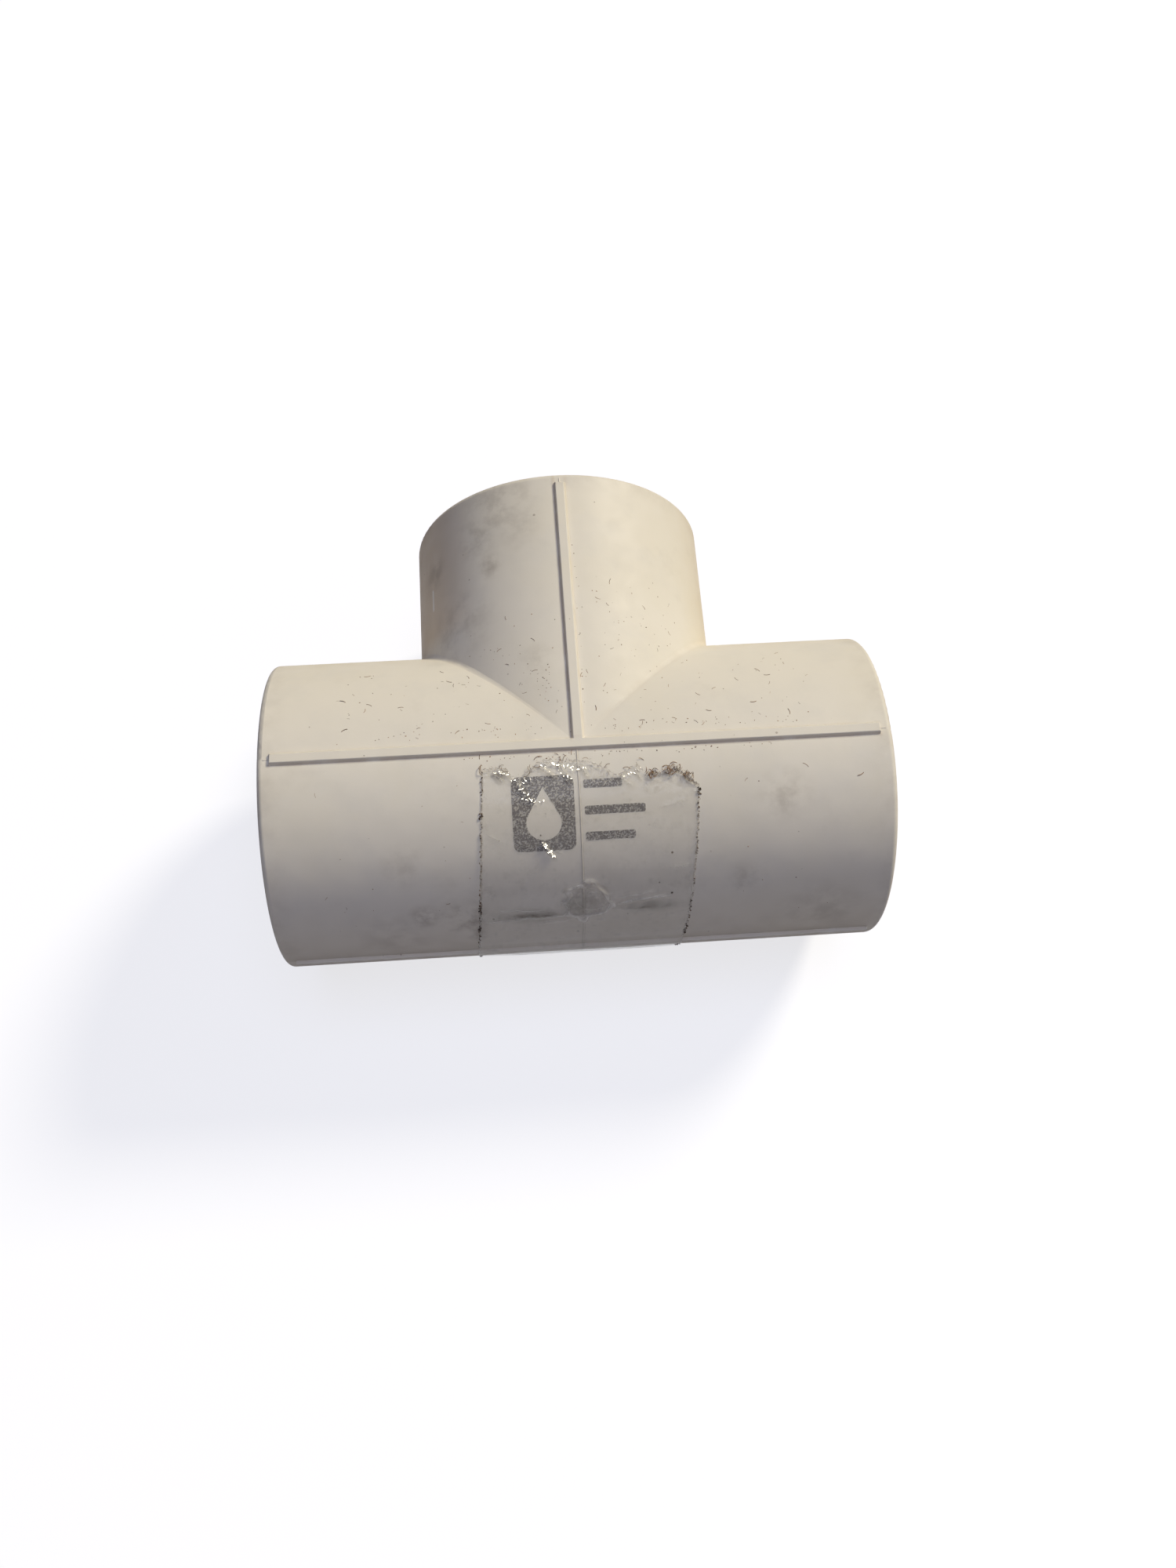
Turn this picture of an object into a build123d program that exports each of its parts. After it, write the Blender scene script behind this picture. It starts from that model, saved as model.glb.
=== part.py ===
from build123d import *
import math
import os

# Equal tee for solvent-weld PVC pressure pipe, with a strip of clear tape over a printed mark.
# Millimetres. The run lies along X, the branch points along +Y and the tee lies flat on the
# ribs of its underside, so +Z is up. The origin is where the two centre lines cross.
# Angles round the run count from its top towards its front, which faces -Y.

# ---- driving dimensions of the tee ----
pipe_diameter = 32.0       # outside of the pipe that each socket takes
socket_clearance = 0.1     # radial gap round the dry pipe
socket_depth = 22.0        # mouth to the stop that the pipe meets
socket_wall = 4.1          # socket to the outside of the barrel
stop_step = 2.3            # how far each stop stands in from its socket
stop_margin = 0.9          # along an arm, from the socket across it to its own stop
mouth_chamfer = 0.6        # lead-in for the pipe
mouth_round = 0.7          # outer edge of each mouth
crotch_fillet = 0.8        # where the branch meets the run, outside

# ---- ribs, along the top and bottom of every arm and down the front of the run ----
rib_height = 0.45          # above the barrel
rib_foot = 1.6             # width where it leaves the barrel
rib_crest = 1.1            # width at the top
rib_setback = 1.6          # from the rib's end to the mouth
rib_round = 0.15           # edges of the crest
rib_root = 1.0             # how deep its root reaches into the barrel

# ---- gate mark: the dish where the moulding was fed, with the stub of the feed in it ----
gate_angle = 57.0
gate_x = 0.9
gate_dish_diameter = 4.4
gate_dish_depth = 0.25
gate_stub_diameter = 1.6
gate_stub_gap = 0.05       # from the stub's end to the barrel's surface

# ---- clear tape, wrapped round the front of the run ----
tape_thickness = 0.12
tape_width = 26.0
tape_x = 0.6               # centre of the strip along the run
tape_start = 6.0           # angle of its torn upper end
tape_end = 132.0           # angle of its lower end, on the underside
tape_lift = 7.0            # angle on each side of the front rib where it leaves the barrel

# ---- printed mark, under the tape ----
mark_thickness = 0.05
mark_width = 15.6
mark_x = 0.0               # centre of the mark along the run
mark_start = 10.0
mark_end = 37.0

# ---- worked out from the sizes above ----
socket_radius = pipe_diameter / 2 + socket_clearance
barrel_radius = socket_radius + socket_wall
bore_radius = socket_radius - stop_step
arm_length = socket_radius + stop_margin + socket_depth    # centre of the tee to each mouth
crest_radius = barrel_radius + rib_height
front_angle = 90.0         # of the front rib
upright = Vector(0, 0, 1)
along_run = Vector(1, 0, 0)
along_branch = Vector(0, 1, 0)
arms = (along_run, -1 * along_run, along_branch)


def across(arm, distance=0.0, crest=upright):
    # The plane across an arm at a distance from the centre, with its X axis towards crest.
    return Plane(origin=arm * distance, x_dir=crest, z_dir=arm)


def round_run(angle, radius):
    # A point of the run's cross-section, on the axes of Plane.YZ.
    turn = math.radians(angle)
    return (-radius * math.sin(turn), radius * math.cos(turn))


def rib(arm, crest):
    # One straight rib from the centre of the tee towards a mouth, with a rounded crest.
    with BuildPart() as bar:
        with BuildSketch(across(arm, crest=crest)):
            with BuildLine():
                Polyline(
                    (barrel_radius - rib_root, -rib_foot / 2),
                    (barrel_radius, -rib_foot / 2),
                    (crest_radius, -rib_crest / 2),
                    (crest_radius, rib_crest / 2),
                    (barrel_radius, rib_foot / 2),
                    (barrel_radius - rib_root, rib_foot / 2),
                    close=True,
                )
            make_face()
        extrude(amount=arm_length - rib_setback)
        top_face = bar.faces().sort_by(Axis((0, 0, 0), crest))[-1]
        inner_end = top_face.edges().sort_by(Axis((0, 0, 0), arm))[0]
        fillet(top_face.edges() - ShapeList([inner_end]), rib_round)
    return bar.part


def keep_between(first, last):
    # Keeps the stretch of a sketch across the run that lies between two angles.
    steps = math.ceil((last - first) / 45)
    reach = 2 * crest_radius
    corners = [round_run(first + (last - first) * step / steps, reach) for step in range(steps + 1)]
    Polygon((0, 0), *corners, align=None, mode=Mode.INTERSECT)


def under_the_tape(mode):
    # What the strip lies on: the barrel, and the ramps up to the front rib's crest.
    Circle(barrel_radius, mode=mode)
    Polygon(
        round_run(front_angle - tape_lift, barrel_radius),
        (-crest_radius, rib_crest / 2),
        (-crest_radius, -rib_crest / 2),
        round_run(front_angle + tape_lift, barrel_radius),
        align=None,
        mode=mode,
    )


# ---- tee body: one injection moulding of unplasticised PVC ----
ribs = [rib(arm, side * upright) for arm in arms for side in (1, -1)]
ribs += [rib(side * along_run, -1 * along_branch) for side in (1, -1)]
gate = Plane(origin=(0, 0, 0), x_dir=along_run, z_dir=(0, *round_run(gate_angle, 1)))

with BuildPart() as tee_body:
    with BuildSketch(Plane.YZ.offset(-arm_length)):
        Circle(barrel_radius)
    extrude(amount=2 * arm_length)
    with BuildSketch(across(along_branch)):
        Circle(barrel_radius)
    extrude(amount=arm_length)
    fillet(tee_body.edges().filter_by(GeomType.ELLIPSE), crotch_fillet)
    fillet(tee_body.edges().filter_by(lambda edge: edge.is_closed), mouth_round)
    add(ribs)

    with BuildSketch(Plane.YZ.offset(-arm_length)):
        Circle(bore_radius)
    extrude(amount=2 * arm_length, mode=Mode.SUBTRACT)
    with BuildSketch(across(along_branch)):
        Circle(bore_radius)
    extrude(amount=arm_length, mode=Mode.SUBTRACT)
    for arm in arms:
        with BuildSketch(across(arm, arm_length - socket_depth)):
            Circle(socket_radius)
        extrude(amount=socket_depth, mode=Mode.SUBTRACT)
        mouth_edges = tee_body.edges().filter_by(GeomType.CIRCLE).group_by(Axis((0, 0, 0), arm))[-1]
        chamfer(mouth_edges.sort_by(SortBy.RADIUS)[0], mouth_chamfer)

    with BuildSketch(gate.offset(barrel_radius - gate_dish_depth)):
        with Locations((gate_x, 0)):
            Circle(gate_dish_diameter / 2)
    extrude(amount=gate_dish_depth, mode=Mode.SUBTRACT)
    with BuildSketch(gate.offset(barrel_radius - gate_dish_depth)):
        with Locations((gate_x, 0)):
            Circle(gate_stub_diameter / 2)
    extrude(amount=gate_dish_depth - gate_stub_gap)

# ---- printed mark: a film of ink on the front of the run ----
with BuildPart() as printed_mark:
    with BuildSketch(Plane.YZ.offset(mark_x - mark_width / 2)):
        Circle(barrel_radius + mark_thickness)
        Circle(barrel_radius, mode=Mode.SUBTRACT)
        keep_between(mark_start, mark_end)
    extrude(amount=mark_width)

# ---- clear tape: one strip over the mark and the front rib ----
with BuildPart() as clear_tape:
    with BuildSketch(Plane.YZ.offset(tape_x - tape_width / 2)):
        under_the_tape(Mode.ADD)
        offset(amount=tape_thickness)
        under_the_tape(Mode.SUBTRACT)
        keep_between(tape_start, tape_end)
    extrude(amount=tape_width)
    add(printed_mark.part, mode=Mode.SUBTRACT)

os.makedirs("parts", exist_ok=True)
tee_body.part.label = "tee_body"
export_step(tee_body.part, "parts/tee_body.step")
printed_mark.part.label = "printed_mark"
export_step(printed_mark.part, "parts/printed_mark.step")
clear_tape.part.label = "clear_tape"
export_step(clear_tape.part, "parts/clear_tape.step")
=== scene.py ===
import math

import bmesh
import bpy
from mathutils import Euler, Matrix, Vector, noise


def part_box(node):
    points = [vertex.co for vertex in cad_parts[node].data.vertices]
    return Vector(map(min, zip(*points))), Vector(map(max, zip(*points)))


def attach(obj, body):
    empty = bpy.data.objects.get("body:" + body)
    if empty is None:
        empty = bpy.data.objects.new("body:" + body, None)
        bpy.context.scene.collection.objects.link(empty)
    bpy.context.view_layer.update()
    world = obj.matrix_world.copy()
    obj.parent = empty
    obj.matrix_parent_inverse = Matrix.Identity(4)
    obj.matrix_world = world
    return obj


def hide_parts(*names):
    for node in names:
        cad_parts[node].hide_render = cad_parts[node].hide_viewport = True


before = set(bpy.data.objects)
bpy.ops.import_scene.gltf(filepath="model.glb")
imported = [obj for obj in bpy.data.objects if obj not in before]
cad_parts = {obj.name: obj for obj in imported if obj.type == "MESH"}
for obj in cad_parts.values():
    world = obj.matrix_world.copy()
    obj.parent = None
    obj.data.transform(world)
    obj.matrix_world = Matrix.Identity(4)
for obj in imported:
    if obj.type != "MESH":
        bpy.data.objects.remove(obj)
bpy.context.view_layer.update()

# ---- tee body ----
# An equal tee for glued pressure pipe, moulded in one shot of cream-white unplasticised PVC.
# It comes from the mould satin, with low stiffening ribs along the arms and down the front, and
# this one has lain about: greasy thumb smudges, fly specks, and brown dust packed along the ribs.
mm = 0.001
barrel_radius = 20.2
mouth_at = 39.0
body_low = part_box("tee_body")[0]


def on_run(along, angle, radius=barrel_radius):
    # A point on the run: millimetres along it, degrees from its top towards its front.
    turn = math.radians(angle)
    return Vector((along, -radius * math.sin(turn), radius * math.cos(turn)))


def on_branch(along, angle, radius=barrel_radius):
    # A point on the branch: millimetres from the run's centre line, degrees towards +X.
    turn = math.radians(angle)
    return Vector((radius * math.sin(turn), along, radius * math.cos(turn)))


def put(tree, kind, inputs, **settings):
    # One node, with an input either wired to a socket or set to a value.
    node = tree.nodes.new(kind)
    for setting, value in settings.items():
        setattr(node, setting, value)
    for key, value in inputs.items():
        if isinstance(value, bpy.types.NodeSocket):
            tree.links.new(value, node.inputs[key])
        else:
            node.inputs[key].default_value = value
    return node


def calc(tree, operation, *values, clamp=False):
    inputs = dict(enumerate(values))
    return put(tree, "ShaderNodeMath", inputs, operation=operation, use_clamp=clamp).outputs[0]


def fade(tree, value, start, end):
    # Rises smoothly from 0 at start to 1 at end.
    inputs = {"Value": value, "From Min": start, "From Max": end}
    return put(tree, "ShaderNodeMapRange", inputs, interpolation_type="SMOOTHSTEP").outputs[0]


def tint(tree, share, under, over, blend="MIX"):
    node = put(tree, "ShaderNodeMix", {0: share, 6: under, 7: over}, data_type="RGBA", blend_type=blend)
    return node.outputs[2]


def scaled(tree, vector, factor):
    return put(tree, "ShaderNodeVectorMath", {0: vector, "Scale": factor}, operation="SCALE").outputs[0]


def distance(tree, one, other):
    return put(tree, "ShaderNodeVectorMath", {0: one, 1: other}, operation="DISTANCE").outputs["Value"]


def effect(name, inputs, outputs):
    # An empty shader group with named sockets, and its two end nodes.
    group = bpy.data.node_groups.new(name, "ShaderNodeTree")
    for socket, kind, value in inputs:
        made = group.interface.new_socket(socket, in_out="INPUT", socket_type="NodeSocket" + kind)
        if value is not None:
            made.default_value = value
    for socket, kind in outputs:
        group.interface.new_socket(socket, in_out="OUTPUT", socket_type="NodeSocket" + kind)
    return group, group.nodes.new("NodeGroupInput").outputs, group.nodes.new("NodeGroupOutput").inputs


def send(group, value, output):
    group.links.new(value, output)


# Where a point lies on the fitting, in millimetres, and its angle round the run in degrees.
place_group, _, place_out = effect(
    "place on the fitting",
    [],
    [("Point", "Vector"), ("X", "Float"), ("Y", "Float"), ("Z", "Float"), ("Angle", "Float")],
)
object_point = put(place_group, "ShaderNodeTexCoord", {}).outputs["Object"]
point = scaled(place_group, object_point, 1 / mm)
axes = put(place_group, "ShaderNodeSeparateXYZ", {0: point}).outputs
send(place_group, point, place_out["Point"])
for axis, socket in zip(axes, ("X", "Y", "Z")):
    send(place_group, axis, place_out[socket])
front_ward = calc(place_group, "MULTIPLY", axes[1], -1.0)
turn = calc(place_group, "ARCTAN2", front_ward, axes[2])
send(place_group, calc(place_group, "DEGREES", turn), place_out["Angle"])

# Soft-edged patches of any size, for stains, worn places and thin spots.
patch_group, patch_in, patch_out = effect(
    "patches",
    [("Point", "Vector", None), ("Size", "Float", 5.0), ("Start", "Float", 0.45), ("Full", "Float", 0.65)],
    [("Mask", "Float")],
)
patch_noise = put(
    patch_group,
    "ShaderNodeTexNoise",
    {
        "Vector": patch_in["Point"],
        "Scale": calc(patch_group, "DIVIDE", 1.0, patch_in["Size"]),
        "Detail": 4.0,
        "Roughness": 0.6,
    },
).outputs[0]
send(patch_group, fade(patch_group, patch_noise, patch_in["Start"], patch_in["Full"]), patch_out["Mask"])

# Scattered round specks with ragged edges, each cell of the pattern holding one or none.
speck_group, speck_in, speck_out = effect(
    "specks",
    [
        ("Point", "Vector", None), ("Spacing", "Float", 1.5),
        ("Largest", "Float", 0.2), ("Share", "Float", 0.4),
    ],
    [("Mask", "Float")],
)
ragged = put(
    speck_group, "ShaderNodeTexNoise", {"Vector": speck_in["Point"], "Scale": 6.0, "Detail": 2.0}
).outputs[1]
ragged = scaled(speck_group, ragged, 0.12)
ragged = put(
    speck_group, "ShaderNodeVectorMath", {0: speck_in["Point"], 1: ragged}, operation="ADD"
).outputs[0]
cells = put(
    speck_group,
    "ShaderNodeTexVoronoi",
    {"Vector": ragged, "Scale": calc(speck_group, "DIVIDE", 1.0, speck_in["Spacing"])},
).outputs
draw = put(speck_group, "ShaderNodeSeparateColor", {0: cells["Color"]}).outputs
away = calc(speck_group, "MULTIPLY", cells["Distance"], speck_in["Spacing"])
reach = calc(speck_group, "MULTIPLY", calc(speck_group, "POWER", draw[1], 2.0), speck_in["Largest"])
inside = fade(speck_group, away, reach, calc(speck_group, "MULTIPLY", reach, 0.6))
chosen = calc(speck_group, "LESS_THAN", draw[0], speck_in["Share"])
send(speck_group, calc(speck_group, "MULTIPLY", inside, chosen), speck_out["Mask"])


def use(tree, group, **inputs):
    node = tree.nodes.new("ShaderNodeGroup")
    node.node_tree = group
    for key, value in inputs.items():
        if isinstance(value, bpy.types.NodeSocket):
            tree.links.new(value, node.inputs[key])
        else:
            node.inputs[key].default_value = value
    return node.outputs


def patches(tree, point, size, start, full):
    return use(tree, patch_group, Point=point, Size=size, Start=start, Full=full)["Mask"]


def new_material(name):
    material = bpy.data.materials.new(name)
    material.use_nodes = True
    return material, material.node_tree, material.node_tree.nodes["Principled BSDF"]


moulded_pvc, tree, shader = new_material("moulded_pvc")
place = use(tree, place_group)
point = place["Point"]
across_x = calc(tree, "ABSOLUTE", place["X"])
across_y = calc(tree, "ABSOLUTE", place["Y"])
across_z = calc(tree, "ABSOLUTE", place["Z"])
colour = tint(
    tree,
    calc(tree, "MULTIPLY", patches(tree, point, 21.0, 0.42, 0.68), 0.55),
    (0.84, 0.805, 0.735, 1),
    (0.80, 0.76, 0.665, 1),
)
colour = tint(
    tree,
    calc(tree, "MULTIPLY", patches(tree, point, 6.0, 0.45, 0.75), 0.22),
    colour,
    (0.70, 0.69, 0.67, 1),
)

# The plastic is tinted warmer down the sides and towards the back.
warmer_sides = calc(tree, "MULTIPLY", fade(tree, place["Z"], 14.5, 6.0), fade(tree, place["Y"], -4.0, 2.0))
colour = tint(tree, calc(tree, "MULTIPLY", warmer_sides, 0.75), colour, (0.80, 0.725, 0.59, 1))

# Painted warm bounced light: a brown tint on the shaded left flank of the branch near its mouth.
painted_warm_bounce = calc(tree, "MULTIPLY", fade(tree, place["X"], -11.0, -17.0), fade(tree, place["Y"], 18.0, 22.0))
colour = tint(tree, calc(tree, "MULTIPLY", painted_warm_bounce, 0.32), colour, (0.70, 0.46, 0.22, 1))

# Thumb smudges: where each is, how far it spreads and how dark it is.
smudge = None
for centre, spread, strength in (
    (on_branch(36, -25), 7.5, 0.45),
    (on_branch(32, -17), 4.5, 0.30),
    (on_branch(32, -34), 5.0, 0.42),
    (on_branch(30, -59), 3.6, 0.45),
    (on_branch(27, -29), 2.6, 0.60),
    (on_branch(20, -45), 8.0, 0.35),
    (on_branch(12, -13), 3.0, 0.30),
    (on_run(-22, 40), 4.0, 0.30),
    (on_run(-20, 62), 2.8, 0.75),
    (on_run(-15, 64), 4.4, 0.95),
    (on_run(-14, 72), 2.6, 0.70),
    (on_run(-24, 72), 6.0, 0.25),
    (on_run(25, 22), 4.5, 0.40),
    (on_run(20, 53), 3.6, 0.35),
    (on_run(30, 70), 7.0, 0.30),
    (on_run(-30, 150), 9.0, 0.40),
    (on_run(22, -150), 9.0, 0.35),
    (on_branch(28, 150), 8.0, 0.40),
):
    away = distance(tree, point, centre)
    one = calc(tree, "MULTIPLY", fade(tree, away, spread, 0.15 * spread), strength)
    smudge = one if smudge is None else calc(tree, "MAXIMUM", smudge, one)
cloudy = patches(tree, point, 2.6, 0.34, 0.70)
faint = patches(tree, point, 9.0, 0.56, 0.74)
faint = calc(tree, "MULTIPLY", faint, 0.13)
smudge = calc(tree, "MAXIMUM", calc(tree, "MULTIPLY", smudge, cloudy), faint)
colour = tint(tree, calc(tree, "MULTIPLY", smudge, 0.75), colour, (0.28, 0.235, 0.195, 1))

# A pale streak on the shaded side of the branch.
pale_streak_at = on_branch(26.5, -61.5)
in_line = put(tree, "ShaderNodeCombineXYZ", {0: place["X"], 1: pale_streak_at.y, 2: place["Z"]}).outputs[0]
beside_streak = distance(tree, in_line, pale_streak_at)
along_streak = calc(tree, "ABSOLUTE", calc(tree, "SUBTRACT", place["Y"], pale_streak_at.y))
pale_streak = calc(tree, "MULTIPLY", fade(tree, beside_streak, 0.32, 0.10), fade(tree, along_streak, 1.8, 1.4))
colour = tint(tree, calc(tree, "MULTIPLY", pale_streak, 0.85), colour, (0.97, 0.95, 0.90, 1))

# Dust packed into the feet of the ribs and along the crotch, on the outside only, with painted shade at the
# feet on the ribs' shaded sides.
from_centre = put(tree, "ShaderNodeVectorMath", {0: point}, operation="LENGTH").outputs["Value"]
outside = fade(tree, from_centre, 18.6, 19.0)
rib_foot = 0.80
dust_and_shade_reach = 0.36
lit_side_share = 0.35


def dust_and_shade_beside(across, along):
    # Both feet of a rib; the one on the side that along is negative, away from the warm lamp, gets most:
    # dust there and painted shade.
    close = fade(tree, calc(tree, "ABSOLUTE", calc(tree, "SUBTRACT", across, rib_foot)), dust_and_shade_reach, 0.03)
    side = put(
        tree,
        "ShaderNodeMapRange",
        {"Value": along, "From Min": -0.1, "From Max": 0.1, "To Min": 1.0, "To Max": lit_side_share},
    )
    return calc(tree, "MULTIPLY", close, side.outputs[0])


beside_y = dust_and_shade_beside(across_y, place["Y"])
beside_x = dust_and_shade_beside(across_x, place["X"])
beside_z = dust_and_shade_beside(across_z, place["Z"])
high = fade(tree, across_z, 19.2, 19.5)
out_front = fade(tree, place["Y"], -19.2, -19.5)
up_branch = fade(tree, place["Y"], 0.0, 1.0)
short_of_mouth = fade(tree, across_x, 37.9, 37.4)
top_ribs = calc(tree, "MULTIPLY", calc(tree, "MULTIPLY", beside_y, high), short_of_mouth)
branch_ribs = calc(tree, "MULTIPLY", calc(tree, "MULTIPLY", beside_x, high), up_branch)
front_rib = calc(tree, "MULTIPLY", calc(tree, "MULTIPLY", beside_z, out_front), short_of_mouth)
crotch = calc(tree, "ABSOLUTE", calc(tree, "SUBTRACT", across_x, place["Y"]))
crotch = calc(tree, "MULTIPLY", fade(tree, crotch, 1.3, 0.1), fade(tree, place["Y"], 1.5, 5.0))
dust_and_shade = calc(tree, "MAXIMUM", calc(tree, "MAXIMUM", top_ribs, branch_ribs), front_rib)
dust_and_shade = calc(tree, "MAXIMUM", dust_and_shade, calc(tree, "MULTIPLY", crotch, 0.22))
patchy = patches(tree, point, 2.6, 0.22, 0.60)
dust_and_shade = calc(tree, "MULTIPLY", calc(tree, "MULTIPLY", dust_and_shade, patchy), outside)
# Brown dust, and painted shade along the shaded feet of the ribs.
colour = tint(tree, calc(tree, "MULTIPLY", dust_and_shade, 0.26), colour, (0.44, 0.26, 0.13, 1))

# Grime that hands and shelves leave at the mouths, and dust that has settled inside.
mouth = calc(tree, "MAXIMUM", fade(tree, across_x, 35.0, mouth_at), fade(tree, place["Y"], 35.5, mouth_at))
mouth = calc(tree, "MULTIPLY", mouth, patches(tree, point, 4.0, 0.35, 0.75))
colour = tint(tree, calc(tree, "MULTIPLY", mouth, 0.22), colour, (0.34, 0.29, 0.24, 1))


def from_line(one, other):
    squares = calc(tree, "ADD", calc(tree, "POWER", one, 2.0), calc(tree, "POWER", other, 2.0))
    return calc(tree, "SQRT", squares)


from_run = from_line(place["Y"], place["Z"])
from_branch = from_line(place["X"], place["Z"])
in_bore = fade(tree, calc(tree, "MINIMUM", from_run, from_branch), 16.6, 16.2)
settled = calc(tree, "MULTIPLY", in_bore, fade(tree, place["Z"], 2.0, -15.0))
settled = calc(tree, "MULTIPLY", settled, patches(tree, point, 8.0, 0.15, 0.85))
colour = tint(tree, calc(tree, "MULTIPLY", settled, 0.40), colour, (0.42, 0.34, 0.24, 1))

# The knit line down the front holds a little soil.
knit = fade(tree, calc(tree, "ABSOLUTE", calc(tree, "ADD", place["X"], 0.25)), 0.28, 0.08)
knit = calc(tree, "MULTIPLY", knit, fade(tree, place["Y"], -0.9, -1.1))
knit = calc(tree, "MULTIPLY", knit, outside)
colour = tint(tree, calc(tree, "MULTIPLY", knit, 0.30), colour, (0.33, 0.29, 0.25, 1))

# Fly specks all over, and a denser sprinkle near the middle of the fitting.
sprinkle = use(tree, speck_group, Point=point, Spacing=2.2, Largest=0.20, Share=0.40)["Mask"]
near_middle = distance(tree, point, Vector((3, 4, 20)))
near_middle = fade(tree, near_middle, 24.0, 5.0)
dense = use(tree, speck_group, Point=point, Spacing=0.9, Largest=0.15, Share=0.50)["Mask"]
sprinkle = calc(tree, "MULTIPLY", sprinkle, 0.75)
specks = calc(tree, "MAXIMUM", sprinkle, calc(tree, "MULTIPLY", dense, near_middle))
colour = tint(tree, calc(tree, "MULTIPLY", specks, 0.62), colour, (0.17, 0.11, 0.075, 1))
tree.links.new(colour, shader.inputs["Base Color"])

worn = put(tree, "ShaderNodeMapRange", {"Value": cloudy, "To Min": 0.50, "To Max": 0.62}).outputs[0]
worn = calc(tree, "ADD", worn, calc(tree, "MULTIPLY", dust_and_shade, 0.3), clamp=True)
tree.links.new(worn, shader.inputs["Roughness"])
shader.inputs["Specular IOR Level"].default_value = 0.35
spark = put(
    tree, "ShaderNodeTexNoise", {"Vector": point, "Scale": 5.0, "Detail": 3.0, "Roughness": 0.6}
).outputs[0]
ripple = put(tree, "ShaderNodeTexNoise", {"Vector": point, "Scale": 0.22, "Detail": 1.0}).outputs[0]
relief = calc(tree, "ADD", calc(tree, "MULTIPLY", spark, 0.008), calc(tree, "MULTIPLY", ripple, 0.10))
relief = calc(tree, "ADD", relief, calc(tree, "MULTIPLY", dust_and_shade, 0.03))
bump = put(tree, "ShaderNodeBump", {"Height": relief, "Distance": mm, "Strength": 0.8}).outputs[0]
tree.links.new(bump, shader.inputs["Normal"])

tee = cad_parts["tee_body"]
tee.data.materials.clear()
tee.data.materials.append(moulded_pvc)

# ---- mould lines ----
# Fine raised lines left in the same PVC by the mould: the knit line down the front of the run,
# where two flows of plastic met, and the short witness lines between each rib's end and its mouth.


def guide_lines(name, routes):
    # A mesh of edges only, for a tree to follow.
    corners = [place * mm for route in routes for place in route]
    edges = []
    first = 0
    for route in routes:
        edges += [(first + step, first + step + 1) for step in range(len(route) - 1)]
        first += len(route)
    mesh = bpy.data.meshes.new(name)
    mesh.from_pydata(corners, edges, [])
    guide = bpy.data.objects.new(name, mesh)
    bpy.context.scene.collection.objects.link(guide)
    return guide


def node_modelling(name, inputs):
    # An empty Geometry Nodes tree with named sizes, and its two end nodes.
    tree = bpy.data.node_groups.new(name, "GeometryNodeTree")
    tree.interface.new_socket("Geometry", in_out="INPUT", socket_type="NodeSocketGeometry")
    for socket, kind in inputs:
        tree.interface.new_socket(socket, in_out="INPUT", socket_type="NodeSocket" + kind)
    tree.interface.new_socket("Geometry", in_out="OUTPUT", socket_type="NodeSocketGeometry")
    return tree, tree.nodes.new("NodeGroupInput").outputs, tree.nodes.new("NodeGroupOutput").inputs[0]


def close_tree(tree, shape, material, output):
    realized = put(tree, "GeometryNodeRealizeInstances", {"Geometry": shape}).outputs[0]
    finished = put(tree, "GeometryNodeSetMaterial", {"Geometry": realized, "Material": material}).outputs[0]
    tree.links.new(finished, output)


def grow(guide, tree, sizes):
    # Runs a tree on its guide and leaves a plain mesh in the guide's place.
    modifier = guide.modifiers.new("grow", "NODES")
    modifier.node_group = tree
    for item in tree.interface.items_tree:
        if item.in_out == "INPUT" and item.name in sizes:
            modifier[item.identifier] = sizes[item.name]
    evaluated = guide.evaluated_get(bpy.context.evaluated_depsgraph_get())
    mesh = bpy.data.meshes.new_from_object(evaluated)
    guide.modifiers.remove(modifier)
    guide.data = mesh
    return guide


lines_tree, lines_in, lines_out = node_modelling("raised line", [("Radius", "Float")])
path = put(lines_tree, "GeometryNodeMeshToCurve", {"Mesh": lines_in["Geometry"]}).outputs[0]
bead = put(
    lines_tree, "GeometryNodeCurvePrimitiveCircle", {"Resolution": 8, "Radius": lines_in["Radius"]}
).outputs[0]
bead = put(
    lines_tree, "GeometryNodeCurveToMesh", {"Curve": path, "Profile Curve": bead, "Fill Caps": True}
).outputs[0]
bead = put(lines_tree, "GeometryNodeSetShadeSmooth", {"Geometry": bead}).outputs[0]
close_tree(lines_tree, bead, moulded_pvc, lines_out)

line_radius = 0.12
sunk_to = barrel_radius - 0.06
rib_end = 37.3
witness_end = 38.2
mould_lines = guide_lines(
    "mould_lines",
    [
        [on_run(-0.25, angle, sunk_to) for angle in range(2, 87, 2)],
        [on_run(-0.25, angle, sunk_to) for angle in range(94, 178, 2)],
        [on_run(rib_end, 0, sunk_to), on_run(witness_end, 0, sunk_to)],
        [on_run(-rib_end, 0, sunk_to), on_run(-witness_end, 0, sunk_to)],
        [on_branch(rib_end, 0, sunk_to), on_branch(witness_end, 0, sunk_to)],
        [on_run(rib_end, 180, sunk_to), on_run(witness_end, 180, sunk_to)],
        [on_run(-rib_end, 180, sunk_to), on_run(-witness_end, 180, sunk_to)],
        [on_branch(rib_end, 180, sunk_to), on_branch(witness_end, 180, sunk_to)],
    ],
)
grow(mould_lines, lines_tree, {"Radius": line_radius * mm})
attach(mould_lines, "root")

# ---- printed mark ----
# A sign stamped on the front of the run in dark grey ink that took badly on the smooth plastic:
# a rounded tile with a water drop left blank in it, and three plain bars beside the tile.
mark_top = 11.0
degree_arc = math.radians(1) * barrel_radius
ink_lift = 0.012
ink_film = 0.026


def rounded_tile(left, top, right, bottom, corner, steps=5):
    outline = []
    for x, y, start in (
        (right - corner, top + corner, -90),
        (right - corner, bottom - corner, 0),
        (left + corner, bottom - corner, 90),
        (left + corner, top + corner, 180),
    ):
        for step in range(steps + 1):
            turn = math.radians(start + 90 * step / steps)
            outline.append((x + corner * math.cos(turn), y + corner * math.sin(turn)))
    return outline


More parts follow.
